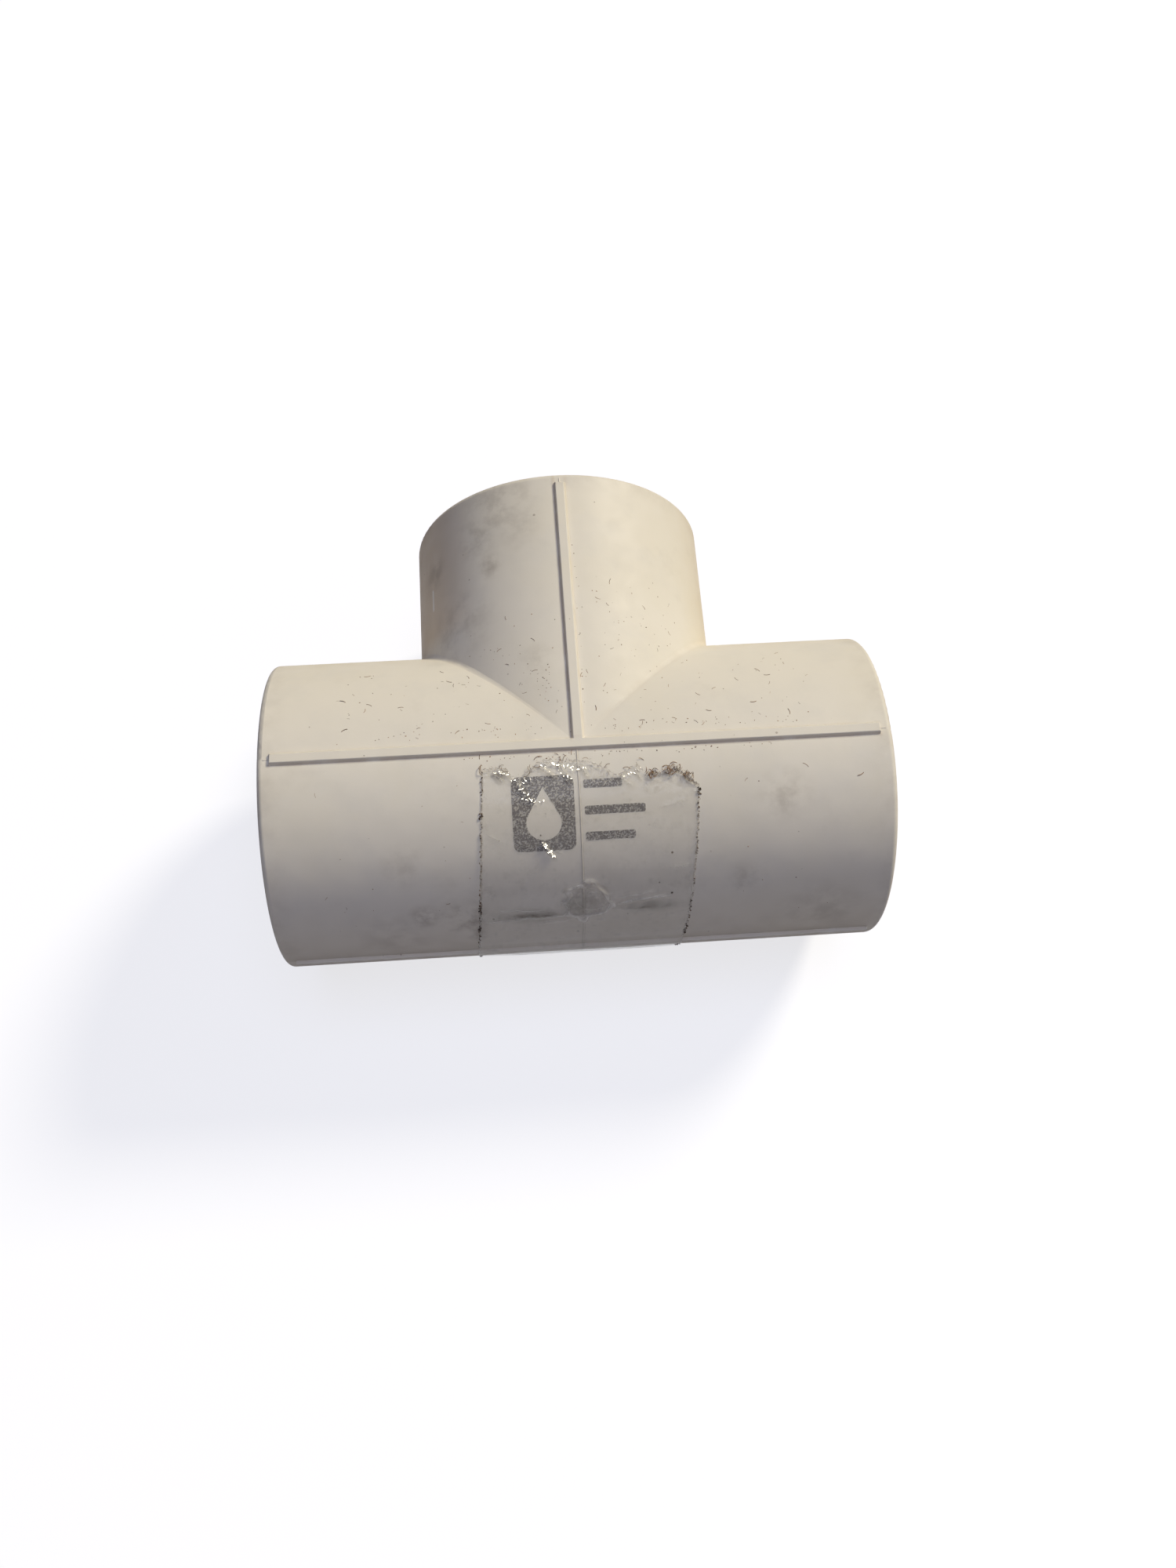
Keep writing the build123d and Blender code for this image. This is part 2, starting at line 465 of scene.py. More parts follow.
def stamp(name, shapes):
    # Cuts flat outlines, given as millimetres across and down, and wraps them on the run.
    ink = bmesh.new()
    for outlines in shapes:
        rim = []
        for outline in outlines:
            ring = [ink.verts.new((x, y, 0)) for x, y in outline]
            rim += [ink.edges.new((one, other)) for one, other in zip(ring, ring[1:] + ring[:1])]
        bmesh.ops.triangle_fill(ink, use_beauty=True, edges=rim, normal=(0, 0, 1))
    for axis, low, high, pitch in ((1, 0.0, 9.5, 0.45), (0, -9.0, 9.0, 0.9)):
        level = low
        while level < high:
            direction = Vector((0, 0, 0))
            direction[axis] = 1
            everything = ink.verts[:] + ink.edges[:] + ink.faces[:]
            bmesh.ops.bisect_plane(
                ink, geom=everything, dist=1e-5, plane_co=direction * level, plane_no=direction
            )
            level += pitch
    sheet = ink.faces[:]
    for vert in ink.verts:
        vert.co = on_run(vert.co.x, mark_top + vert.co.y / degree_arc, barrel_radius + ink_lift) * mm
    bmesh.ops.recalc_face_normals(ink, faces=sheet)
    if sheet[0].normal.dot(sheet[0].calc_center_median()) < 0:
        bmesh.ops.reverse_faces(ink, faces=sheet)
    bmesh.ops.solidify(ink, geom=sheet, thickness=-ink_film * mm)
    bmesh.ops.recalc_face_normals(ink, faces=ink.faces[:])
    mesh = bpy.data.meshes.new(name)
    ink.to_mesh(mesh)
    ink.free()
    piece = bpy.data.objects.new(name, mesh)
    bpy.context.scene.collection.objects.link(piece)
    return piece


tile = rounded_tile(-8.5, 0.0, -0.9, 9.2, 0.9)
drop_waist = 2.15
water_drop = [(-4.7, 1.35)]
for step in range(19):
    turn = math.radians(-35 + 250 * step / 18)
    water_drop.append((-4.7 + drop_waist * math.cos(turn), 5.7 + drop_waist * math.sin(turn)))
printed_sign = stamp(
    "printed_sign",
    [
        [tile, water_drop],
        [rounded_tile(0.3, 0.7, 5.0, 1.75, 0.25)],
        [rounded_tile(0.3, 3.9, 7.7, 4.95, 0.25)],
        [rounded_tile(0.3, 7.1, 6.4, 8.15, 0.25)],
    ],
)

stamp_ink, tree, shader = new_material("stamp_ink")
point = use(tree, place_group)["Point"]
shader.inputs["Base Color"].default_value = (0.125, 0.108, 0.115, 1)
shader.inputs["Roughness"].default_value = 0.6
grainy = patches(tree, point, 0.22, 0.55, 0.43)
thin = patches(tree, point, 2.2, 0.70, 0.45)
thin = calc(tree, "ADD", calc(tree, "MULTIPLY", thin, 0.35), 0.65)
cover = calc(tree, "MULTIPLY", grainy, thin, clamp=True)
tree.links.new(calc(tree, "MULTIPLY_ADD", cover, 0.82, 0.10), shader.inputs["Alpha"])
printed_sign.data.materials.append(stamp_ink)
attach(printed_sign, "root")
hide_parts("printed_mark")

# ---- clear tape ----
# A strip of clear polypropylene packing tape, stuck by hand over the sign and round the front:
# a little askew, torn by hand along its upper edge, creased where it would not lie flat, and
# blistered over the gate mark. Its sides have picked up dirt all the way along.
tape_half = 13.25
tape_foot = 131.0
film_gap = 0.055
film = 0.05
rib_crest = 20.65
rib_half = 1.5
lift_from = 7


def strip_middle(angle):
    return 1.35 - 0.024 * min(angle - 8, 80)


# The tear, as millimetres along the run and degrees round it.
tear = [
    (-12.5, 7.8), (-10.2, 7.4), (-8.9, 8.0), (-8.1, 11.6), (-6.8, 10.4), (-5.3, 6.2), (-3.7, 5.3),
    (-1.6, 5.8), (0.5, 6.4), (3.0, 9.0), (4.6, 12.0), (5.8, 10.2), (7.1, 8.8), (8.4, 12.6),
    (10.3, 11.6), (11.6, 10.4), (12.9, 13.0), (14.8, 17.2),
]


def tear_at(x):
    for (x0, a0), (x1, a1) in zip(tear, tear[1:]):
        if x <= x1:
            share = max(0.0, (x - x0) / (x1 - x0))
            break
    jagged = 0.9 * noise.noise(Vector((x * 1.7, 3.1, 0))) + 0.6 * noise.noise(Vector((x * 5.3, 7.7, 0)))
    return a0 + (a1 - a0) * share + jagged


# Creases: from, to (millimetres along, degrees round), half width and height in millimetres.
creases = [
    ((-12.3, 66.5), (-8.0, 65.0), 0.35, 0.16),
    ((-9.0, 64.0), (-2.6, 64.8), 0.40, 0.22),
    ((-11.0, 60.2), (-5.5, 62.0), 0.30, 0.14),
    ((-6.0, 68.5), (-1.5, 66.5), 0.30, 0.12),
    ((3.2, 59.8), (10.5, 57.4), 0.38, 0.20),
    ((4.0, 57.2), (8.6, 55.2), 0.30, 0.14),
    ((3.0, 62.5), (7.5, 63.5), 0.30, 0.10),
    ((-5.1, 33.4), (-3.4, 40.4), 0.16, 0.30),
    ((-4.6, 36.0), (-2.6, 38.0), 0.12, 0.12),
    ((-7.2, 17.0), (-5.5, 21.0), 0.20, 0.20),
    ((-7.9, 12.5), (-6.6, 17.5), 0.22, 0.20),
    ((-4.9, 7.5), (-3.0, 12.0), 0.20, 0.24),
    ((-2.6, 7.0), (-1.2, 13.5), 0.22, 0.20),
    ((-0.2, 8.0), (1.0, 12.0), 0.20, 0.18),
    ((4.9, 12.8), (6.4, 16.0), 0.20, 0.16),
    ((6.6, 10.2), (7.2, 14.0), 0.18, 0.18),
    ((-10.6, 9.0), (-9.4, 12.6), 0.20, 0.20),
    ((-11.6, 30.0), (-9.8, 33.0), 0.22, 0.10),
    ((9.5, 24.0), (12.8, 22.0), 0.26, 0.10),
    ((10.5, 46.0), (13.0, 45.0), 0.28, 0.12),
    ((-12.0, 102.0), (12.5, 104.5), 0.45, 0.16),
    ((-6.0, 113.0), (9.0, 111.0), 0.40, 0.14),
]
blister = (0.2, 59.0)
blister_radius = 3.1


def over_the_rib(angle):
    # The strip bridges from the barrel to the crest of the front rib; rib_half and lift_from are
    # degrees from the middle of the rib.
    lean = abs(angle - 90)
    if lean >= lift_from:
        return barrel_radius
    if lean <= rib_half:
        return rib_crest
    return rib_crest - (rib_crest - barrel_radius) * (lean - rib_half) / (lift_from - rib_half)


def crease_at(x, angle):
    # The height of the nearest creases and how sharply the film is folded.
    height = fold = 0.0
    for (x0, a0), (x1, a1), half, tall in creases:
        run = Vector((x1 - x0, (a1 - a0) * degree_arc))
        here = Vector((x - x0, (angle - a0) * degree_arc))
        share = here.dot(run) / run.length_squared
        if not -0.25 < share < 1.25:
            continue
        wander = 0.25 * noise.noise(Vector((x * 0.9, angle * 0.35, tall * 40)))
        aside = abs((here.x * run.y - here.y * run.x) / run.length + wander)
        if aside > 3 * half:
            continue
        ends = min(1.0, 4 * max(0.0, min(share + 0.1, 1.1 - share)))
        hump = math.exp(-((aside / half) ** 2)) * ends
        height = max(height, tall * hump)
        fold = max(fold, min(1.0, tall / 0.2) * math.exp(-((aside / (0.55 * half)) ** 2)) * ends)
    return height, fold


# Soft brown stains where dust has crept under the film: middle, reach along and across.
stains = [
    ((-7.2, 64.5), 6.4, 1.5), ((8.0, 62.5), 6.2, 1.3),
    ((-1.0, 60.5), 3.0, 2.0), ((-9.6, 10.0), 1.5, 0.9),
]


def stain_at(x, angle):
    deepest = 0.0
    for (x0, a0), along, across in stains:
        away = math.hypot((x - x0) / along, (angle - a0) * degree_arc / across)
        deepest = max(deepest, 1 - away)
    return deepest * (0.85 + 0.5 * noise.noise(Vector((x * 0.8, angle * 0.8, 8))))


# How far the crumpling and the curl reach from the tear, and the grime from the sides.
crumple_reach = 1.9
curl_reach = 0.8
grime_reach = 0.22
columns = 132
rows = 190
film_mesh = bmesh.new()
fold_layer = film_mesh.verts.layers.float.new("fold")
soil_layer = film_mesh.verts.layers.float.new("soil")
stain_layer = film_mesh.verts.layers.float.new("stain")
skins = []
for inner in (True, False):
    skin = []
    for column in range(columns + 1):
        across = -1 + 2 * column / columns
        line = []
        for row in range(rows + 1):
            share = (row / rows) ** 1.15
            top = tear_at(strip_middle(8) + across * tape_half)
            angle = top + (tape_foot - top) * share
            waver = 0.10 * noise.noise(Vector((across * 2, angle * 0.3, 1)))
            x = strip_middle(angle) + across * tape_half + waver
            height, fold = crease_at(x, angle)
            here = Vector((x - blister[0], (angle - blister[1]) * degree_arc))
            wobble = 1 + 0.35 * noise.noise(Vector((here.x * 0.7, here.y * 0.7, 11)))
            ring = here.length / (blister_radius * wobble)
            if ring < 1.5:
                rim = math.exp(-(((ring - 0.88) / 0.13) ** 2))
                dimple = ripples = 0.0
                if ring < 1:
                    dimple = 0.07 * (1 - ring)
                    ripples = 0.09 * abs(noise.noise(Vector((here.x * 1.6, here.y * 1.6, 5))))
                height = max(height, 0.17 * rim + dimple + ripples)
                fold = max(fold, 1.0 * rim, 4.0 * ripples)
            from_tear = (angle - top) * degree_arc
            crumpled = abs(noise.noise(Vector((x * 1.3, angle * 0.45, 15))))
            crumpled = math.exp(-((from_tear / crumple_reach) ** 2)) * crumpled
            height += 0.28 * crumpled
            fold = max(fold, 0.8 * crumpled)
            curl = 0.5 + 0.5 * noise.noise(Vector((x * 1.1, 2.0, 9)))
            curl = math.exp(-((from_tear / curl_reach) ** 2)) * curl
            height = max(height, 0.32 * curl)
            fold = max(fold, min(1.0, 0.5 * curl))
            side = (1 - abs(across)) * tape_half
            grime = 0.6 + 0.7 * noise.noise(Vector((angle * 0.45, across, 21)))
            grime = math.exp(-((side / grime_reach) ** 2)) * grime
            tattered = max(0.0, min(1.0, (x - 7.5) / 1.5)) * math.exp(-((from_tear / 0.45) ** 2))
            frayed = 0.65 + noise.noise(Vector((x * 2.1, 5, 3)))
            tattered = max(tattered, math.exp(-((from_tear / 0.20) ** 2)) * frayed)
            wavy = 0.02 + 0.035 * noise.noise(Vector((x * 0.35, angle * 0.12, 4)))
            radius = over_the_rib(angle) + film_gap + max(0.0, wavy) + height
            if abs(angle - 90) < 9:
                radius = min(radius, rib_crest + film_gap)
            radius += 0 if inner else film
            vert = film_mesh.verts.new(on_run(x, angle, radius) * mm)
            vert[fold_layer] = fold
            vert[soil_layer] = max(0.0, min(1.0, max(grime, 0.8 * tattered)))
            vert[stain_layer] = stain_at(x, angle)
            line.append(vert)
        skin.append(line)
    skins.append(skin)
inner_skin, outer_skin = skins
for column in range(columns):
    for row in range(rows):
        for skin in skins:
            film_mesh.faces.new(
                (skin[column][row], skin[column + 1][row], skin[column + 1][row + 1], skin[column][row + 1])
            )
for row in range(rows):
    for column in (0, columns):
        film_mesh.faces.new(
            (
                inner_skin[column][row], inner_skin[column][row + 1],
                outer_skin[column][row + 1], outer_skin[column][row],
            )
        )
for column in range(columns):
    for row in (0, rows):
        film_mesh.faces.new(
            (
                inner_skin[column][row], inner_skin[column + 1][row],
                outer_skin[column + 1][row], outer_skin[column][row],
            )
        )
bmesh.ops.recalc_face_normals(film_mesh, faces=film_mesh.faces[:])
for face in film_mesh.faces:
    face.smooth = True
mesh = bpy.data.meshes.new("tape_strip")
film_mesh.to_mesh(mesh)
film_mesh.free()
tape_strip = bpy.data.objects.new("tape_strip", mesh)
bpy.context.scene.collection.objects.link(tape_strip)

clear_film, tree, shader = new_material("clear_film")
point = use(tree, place_group)["Point"]
fold = put(tree, "ShaderNodeAttribute", {}, attribute_name="fold").outputs["Fac"]
soil = put(tree, "ShaderNodeAttribute", {}, attribute_name="soil").outputs["Fac"]
gritty = patches(tree, point, 0.5, 0.35, 0.55)
soil = calc(tree, "MULTIPLY", soil, gritty)
stain = put(tree, "ShaderNodeAttribute", {}, attribute_name="stain").outputs["Fac"]
stain = calc(tree, "MULTIPLY", stain, patches(tree, point, 2.6, 0.12, 0.70))
dusty = patches(tree, point, 1.4, 0.50, 0.72)
stuck = use(tree, speck_group, Point=point, Spacing=1.3, Largest=0.20, Share=0.35)["Mask"]
colour = tint(tree, fold, (0.78, 0.76, 0.70, 1), (0.94, 0.92, 0.88, 1))
from_blister = distance(tree, point, on_run(*blister))
dull = fade(tree, from_blister, blister_radius, 0.6 * blister_radius)
dull = calc(tree, "MULTIPLY", dull, patches(tree, point, 1.6, 0.30, 0.60))
colour = tint(tree, calc(tree, "MULTIPLY", dull, 0.7), colour, (0.42, 0.35, 0.31, 1))
dusty_fold = calc(tree, "MULTIPLY", calc(tree, "MULTIPLY", dusty, fold), 0.7)
colour = tint(tree, dusty_fold, colour, (0.42, 0.34, 0.26, 1))
colour = tint(tree, calc(tree, "MULTIPLY", stain, 1.6, clamp=True), colour, (0.24, 0.205, 0.15, 1))
colour = tint(tree, calc(tree, "MAXIMUM", soil, stuck), colour, (0.14, 0.09, 0.06, 1))
tree.links.new(colour, shader.inputs["Base Color"])
milky = calc(tree, "MULTIPLY_ADD", calc(tree, "POWER", fold, 1.6), 0.34, 0.10)
milky = calc(tree, "MULTIPLY_ADD", stain, 0.26, milky)
lower = fade(tree, use(tree, place_group)["Angle"], 48.0, 84.0)
milky = calc(tree, "ADD", milky, calc(tree, "MULTIPLY", lower, 0.05))
clouded = calc(tree, "MAXIMUM", dusty, calc(tree, "MULTIPLY", dull, 3.0))
milky = calc(tree, "ADD", milky, calc(tree, "MULTIPLY", clouded, 0.06))
caught = calc(tree, "MAXIMUM", calc(tree, "MULTIPLY", soil, 0.85), calc(tree, "MULTIPLY", stuck, 0.6))
opaque = calc(tree, "MAXIMUM", milky, caught)
tree.links.new(opaque, shader.inputs["Alpha"])
smooth = put(tree, "ShaderNodeMapRange", {"Value": soil, "To Min": 0.09, "To Max": 0.7}).outputs[0]
tree.links.new(smooth, shader.inputs["Roughness"])
shader.inputs["IOR"].default_value = 1.49
shader.inputs["Coat Weight"].default_value = 1.0
shader.inputs["Coat Roughness"].default_value = 0.08
crinkle = put(tree, "ShaderNodeTexNoise", {"Vector": point, "Scale": 1.1, "Detail": 3.0}).outputs[0]
facet = put(tree, "ShaderNodeTexVoronoi", {"Vector": point, "Scale": 1.5}, feature="SMOOTH_F1")
facet = facet.outputs["Distance"]
crinkle = calc(tree, "MULTIPLY_ADD", calc(tree, "MULTIPLY", facet, fold), 7.0, crinkle)
bump = put(tree, "ShaderNodeBump", {"Height": crinkle, "Distance": 0.05 * mm, "Strength": 1.0}).outputs[0]
tree.links.new(bump, shader.inputs["Normal"])
mesh.materials.append(clear_film)
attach(tape_strip, "root")
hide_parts("clear_tape")

# ---- folded corners of the film ----
# Where the film was crumpled at its tear and over the sign, small flat facets of it stand up at
# a slant. They are the same film, whitened by the folding, and they catch the light.
creased_film, tree, shader = new_material("creased_film")
shader.inputs["Base Color"].default_value = (0.90, 0.89, 0.87, 1)
shader.inputs["Roughness"].default_value = 0.10
shader.inputs["IOR"].default_value = 1.49
shader.inputs["Coat Weight"].default_value = 1.0
shader.inputs["Coat Roughness"].default_value = 0.06
point = use(tree, place_group)["Point"]
scuffed = patches(tree, point, 0.25, 0.40, 0.60)
tree.links.new(calc(tree, "MULTIPLY_ADD", scuffed, 0.20, 0.70), shader.inputs["Alpha"])

facet_tree, facet_in, facet_out = node_modelling(
    "facets along a fold",
    [("Count", "Int"), ("Spread", "Float"), ("Lean", "Vector"), ("Length", "Float"), ("Seed", "Int")],
)
path = put(facet_tree, "GeometryNodeMeshToCurve", {"Mesh": facet_in["Geometry"]}).outputs[0]
spots = put(facet_tree, "GeometryNodeCurveToPoints", {"Curve": path, "Count": facet_in["Count"]}).outputs[0]


full_turn = 6.283


def random_vector(tree, low, high, seed):
    return put(
        tree, "FunctionNodeRandomValue", {0: low, 1: high, "Seed": seed}, data_type="FLOAT_VECTOR"
    ).outputs[0]


def random_number(tree, low, high, seed):
    return put(
        tree, "FunctionNodeRandomValue", {2: low, 3: high, "Seed": seed}, data_type="FLOAT"
    ).outputs[1]


scatter = random_vector(facet_tree, (-1, -1, -0.2), (1, 1, 0.2), facet_in["Seed"])
scatter = scaled(facet_tree, scatter, facet_in["Spread"])
spots = put(facet_tree, "GeometryNodeSetPosition", {"Geometry": spots, "Offset": scatter}).outputs[0]
facet = put(
    facet_tree,
    "GeometryNodeMeshCylinder",
    {"Vertices": 7, "Radius": facet_in["Length"], "Depth": 0.02 * mm},
).outputs[0]
jitter = random_vector(facet_tree, (-0.08, -0.08, 0), (0.08, 0.08, 0), facet_in["Seed"])
lean = put(facet_tree, "ShaderNodeVectorMath", {0: facet_in["Lean"], 1: jitter}, operation="ADD").outputs[0]
lean = put(facet_tree, "FunctionNodeAlignRotationToVector", {"Vector": lean}, axis="Z").outputs[0]
spin = put(
    facet_tree,
    "ShaderNodeCombineXYZ",
    {2: random_number(facet_tree, -1.6, 1.6, calc(facet_tree, "ADD", facet_in["Seed"], 2.0))},
).outputs[0]
lean = put(
    facet_tree, "FunctionNodeRotateRotation", {"Rotation": lean, "Rotate By": spin}, rotation_space="LOCAL"
).outputs[0]
slender = random_vector(facet_tree, (0.4, 0.15, 1), (1.3, 0.45, 1), facet_in["Seed"])
facets = put(
    facet_tree,
    "GeometryNodeInstanceOnPoints",
    {"Points": spots, "Instance": facet, "Rotation": lean, "Scale": slender},
).outputs[0]
close_tree(facet_tree, facets, creased_film, facet_out)


def along_fold(start, end, steps=4, lift=0.26):
    (x0, a0), (x1, a1) = start, end
    shares = [step / steps for step in range(steps + 1)]
    return [
        on_run(x0 + (x1 - x0) * share, a0 + (a1 - a0) * share, barrel_radius + lift)
        for share in shares
    ]


for name, routes, count, spread, length, seed in (
    (
        "tear_facets",
        [
            along_fold((-10.4, 8.9), (-8.8, 9.6)), along_fold((-8.2, 12.0), (-6.2, 12.6)),
            along_fold((-5.4, 7.8), (-3.4, 6.9)), along_fold((-3.2, 7.4), (-0.6, 8.2)),
            along_fold((-0.8, 9.6), (1.6, 8.4)), along_fold((4.8, 12.6), (6.8, 10.6)),
            along_fold((-7.6, 14.0), (-6.4, 18.0)), along_fold((-7.2, 18.5), (-4.6, 19.5)),
            along_fold((-2.6, 9.0), (-1.2, 13.0)),
        ],
        7,
        0.30,
        0.21,
        3,
    ),
    ("long_crease", [along_fold((-4.95, 34.0), (-3.75, 39.0), steps=8)], 14, 0.05, 0.36, 8),
):
    piece = guide_lines(name, routes)
    grow(
        piece,
        facet_tree,
        {
            "Count": count,
            "Spread": spread * mm,
            "Lean": Vector((0.34, 0.115, 0.93)),
            "Length": length * mm,
            "Seed": seed,
        },
    )
    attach(piece, "root")

# ---- dirt along the tape ----
# Grit and lint caught by the bare glue at both sides of the strip, in crumbs a few tenths of a
# millimetre across, and a brown fringe of dusty fibres where the tear pulled the film apart.
side_grit, tree, shader = new_material("dark_grit")
point = use(tree, place_group)["Point"]
mixed = patches(tree, point, 0.6, 0.40, 0.60)
colour = tint(tree, mixed, (0.055, 0.040, 0.032, 1), (0.17, 0.115, 0.075, 1))
tree.links.new(colour, shader.inputs["Base Color"])
shader.inputs["Roughness"].default_value = 0.95

grit_tree, grit_in, grit_out = node_modelling(
    "grit along a line",
    [("Count", "Int"), ("Spread", "Float"), ("Smallest", "Float"), ("Largest", "Float"), ("Seed", "Int")],
)
path = put(grit_tree, "GeometryNodeMeshToCurve", {"Mesh": grit_in["Geometry"]}).outputs[0]
spots = put(grit_tree, "GeometryNodeCurveToPoints", {"Curve": path, "Count": grit_in["Count"]}).outputs[0]
scatter = random_vector(grit_tree, (-1, -1, -1), (1, 1, 1), grit_in["Seed"])
scatter = scaled(grit_tree, scatter, grit_in["Spread"])
spots = put(grit_tree, "GeometryNodeSetPosition", {"Geometry": spots, "Offset": scatter}).outputs[0]
crumb = put(grit_tree, "GeometryNodeMeshIcoSphere", {"Radius": 1.0, "Subdivisions": 1}).outputs[0]
girth = random_number(grit_tree, grit_in["Smallest"], grit_in["Largest"], grit_in["Seed"])
stretch = random_vector(grit_tree, (0.6, 0.6, 0.4), (1.7, 1.2, 0.9), grit_in["Seed"])
girth = scaled(grit_tree, stretch, girth)
tumble = random_vector(grit_tree, (0, 0, 0), (full_turn, full_turn, full_turn), grit_in["Seed"])
crumbs = put(
    grit_tree,
    "GeometryNodeInstanceOnPoints",
    {"Points": spots, "Instance": crumb, "Rotation": tumble, "Scale": girth},
).outputs[0]
close_tree(grit_tree, crumbs, side_grit, grit_out)


def strip_side(side, first, last):
    return [
        on_run(strip_middle(angle) + side * tape_half, angle, barrel_radius + 0.07)
        for angle in range(first, last, 2)
    ]


for name, routes, count, spread in (
    (
        "tape_grit",
        [
            strip_side(-1, 9, 84), strip_side(-1, 97, 128),
            strip_side(1, 19, 84), strip_side(1, 97, 128),
        ],
        90,
        0.13,
    ),
    (
        "tape_clots",
        [
            strip_side(-1, 23, 26), strip_side(-1, 57, 62), strip_side(-1, 69, 73), strip_side(1, 18, 21),
            strip_side(1, 78, 83), strip_side(-1, 108, 114), strip_side(1, 112, 120),
        ],
        20,
        0.20,
    ),
):
    piece = guide_lines(name, routes)
    grow(
        piece,
        grit_tree,
        {"Count": count, "Spread": spread * mm, "Smallest": 0.03 * mm, "Largest": 0.14 * mm, "Seed": 4},
    )
    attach(piece, "root")

dusty_fibre, tree, shader = new_material("dusty_fibre")
point = use(tree, place_group)["Point"]
mixed = patches(tree, point, 0.8, 0.38, 0.62)
colour = tint(tree, mixed, (0.11, 0.060, 0.036, 1), (0.38, 0.22, 0.12, 1))
tree.links.new(colour, shader.inputs["Base Color"])
shader.inputs["Roughness"].default_value = 0.9

fringe_tree, fringe_in, fringe_out = node_modelling(
    "fringe of fibres",
    [("Count", "Int"), ("Spread", "Vector"), ("Thickness", "Float"), ("Length", "Float"), ("Seed", "Int")],
)
path = put(fringe_tree, "GeometryNodeMeshToCurve", {"Mesh": fringe_in["Geometry"]}).outputs[0]
spots = put(
    fringe_tree, "GeometryNodeCurveToPoints", {"Curve": path, "Count": fringe_in["Count"]}
).outputs[0]
scatter = random_vector(fringe_tree, (-1, -1, -1), (1, 1, 1), fringe_in["Seed"])
scatter = put(
    fringe_tree, "ShaderNodeVectorMath", {0: scatter, 1: fringe_in["Spread"]}, operation="MULTIPLY"
).outputs[0]
spots = put(fringe_tree, "GeometryNodeSetPosition", {"Geometry": spots, "Offset": scatter}).outputs[0]
bent = put(
    fringe_tree,
    "GeometryNodeCurveArc",
    {"Resolution": 6, "Radius": fringe_in["Length"], "Sweep Angle": 1.6},
).outputs[0]
strand = put(
    fringe_tree, "GeometryNodeCurvePrimitiveCircle", {"Resolution": 4, "Radius": fringe_in["Thickness"]}
).outputs[0]
strand = put(
    fringe_tree, "GeometryNodeCurveToMesh", {"Curve": bent, "Profile Curve": strand, "Fill Caps": True}
).outputs[0]
lie = random_vector(fringe_tree, (-0.5, -0.5, 0), (0.5, 0.5, full_turn), fringe_in["Seed"])
length = random_number(fringe_tree, 0.3, 1.9, fringe_in["Seed"])
strands = put(
    fringe_tree,
    "GeometryNodeInstanceOnPoints",
    {"Points": spots, "Instance": strand, "Rotation": lie, "Scale": length},
).outputs[0]
close_tree(fringe_tree, strands, dusty_fibre, fringe_out)


def along_tear(first, last):
    return [on_run(x / 4, tear_at(x / 4) - 0.2, barrel_radius + 0.22) for x in range(first, last)]


for name, routes, count, spread, thickness, length in (
    (
        "torn_fringe",
        [
            along_tear(33, 57), along_tear(33, 38), along_tear(41, 48),
            along_tear(42, 46), along_tear(50, 54),
        ],
        24,
        (0.28, 0.22, 0.10),
        0.019,
        0.34,
    ),
    (
        "tear_hairs",
        [along_tear(-48, -35), along_tear(-30, -8), along_tear(-8, 32)],
        14,
        (0.4, 0.25, 0.08),
        0.020,
        0.42,
    ),
):
    piece = guide_lines(name, routes)
    grow(
        piece,
        fringe_tree,
        {
            "Count": count,
            "Spread": Vector(spread) * mm,
            "Thickness": thickness * mm,
            "Length": length * mm,
            "Seed": 9,
        },
    )
    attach(piece, "root")

# ---- loose dirt on the body ----
# Dry crumbs of soil and short brown hairs that lie on the plastic, thickest beside the ribs and
# in the crotch of the tee, and thinner out along the arms.


def clear_of_branch(corner):
    return corner.y < abs(corner.x) - 0.7 or corner.y < 0


def clear_of_run(corner):
    return corner.y > abs(corner.x) + 0.7


sprinkle_tree, sprinkle_in, sprinkle_out = node_modelling(
    "crumbs and hairs",
    [("Crumb size", "Float"), ("Hair length", "Float"), ("Hair thickness", "Float"), ("Seed", "Int")],
)


def spread_over(tree, surface, amount, shape, scale, seed):
    density = put(tree, "GeometryNodeInputNamedAttribute", {"Name": amount}, data_type="FLOAT").outputs[0]
    spots = put(
        tree, "GeometryNodeDistributePointsOnFaces", {"Mesh": surface, "Density": density, "Seed": seed}
    ).outputs
    spin = random_vector(tree, (0, 0, 0), (0, 0, full_turn), seed)
    lie = put(
        tree,
        "FunctionNodeRotateRotation",
        {"Rotation": spots["Rotation"], "Rotate By": spin},
        rotation_space="LOCAL",
    ).outputs[0]
    return put(
        tree,
        "GeometryNodeInstanceOnPoints",
        {"Points": spots["Points"], "Instance": shape, "Rotation": lie, "Scale": scale},
    ).outputs[0]


crumb = put(sprinkle_tree, "GeometryNodeMeshIcoSphere", {"Radius": 1.0, "Subdivisions": 1}).outputs[0]
girth = random_vector(sprinkle_tree, (0.35, 0.35, 0.3), (1.5, 1.0, 0.6), sprinkle_in["Seed"])
girth = scaled(sprinkle_tree, girth, sprinkle_in["Crumb size"])
crumbs = spread_over(
    sprinkle_tree, sprinkle_in["Geometry"], "crumbs", crumb, girth, sprinkle_in["Seed"]
)
bent = put(
    sprinkle_tree,
    "GeometryNodeCurveArc",
    {"Resolution": 7, "Radius": sprinkle_in["Hair length"], "Sweep Angle": 0.85},
).outputs[0]
hair = put(
    sprinkle_tree,
    "GeometryNodeCurvePrimitiveCircle",
    {"Resolution": 4, "Radius": sprinkle_in["Hair thickness"]},
).outputs[0]
hair = put(
    sprinkle_tree, "GeometryNodeCurveToMesh", {"Curve": bent, "Profile Curve": hair, "Fill Caps": True}
).outputs[0]
hair_scale = random_number(sprinkle_tree, 0.3, 1.3, sprinkle_in["Seed"])
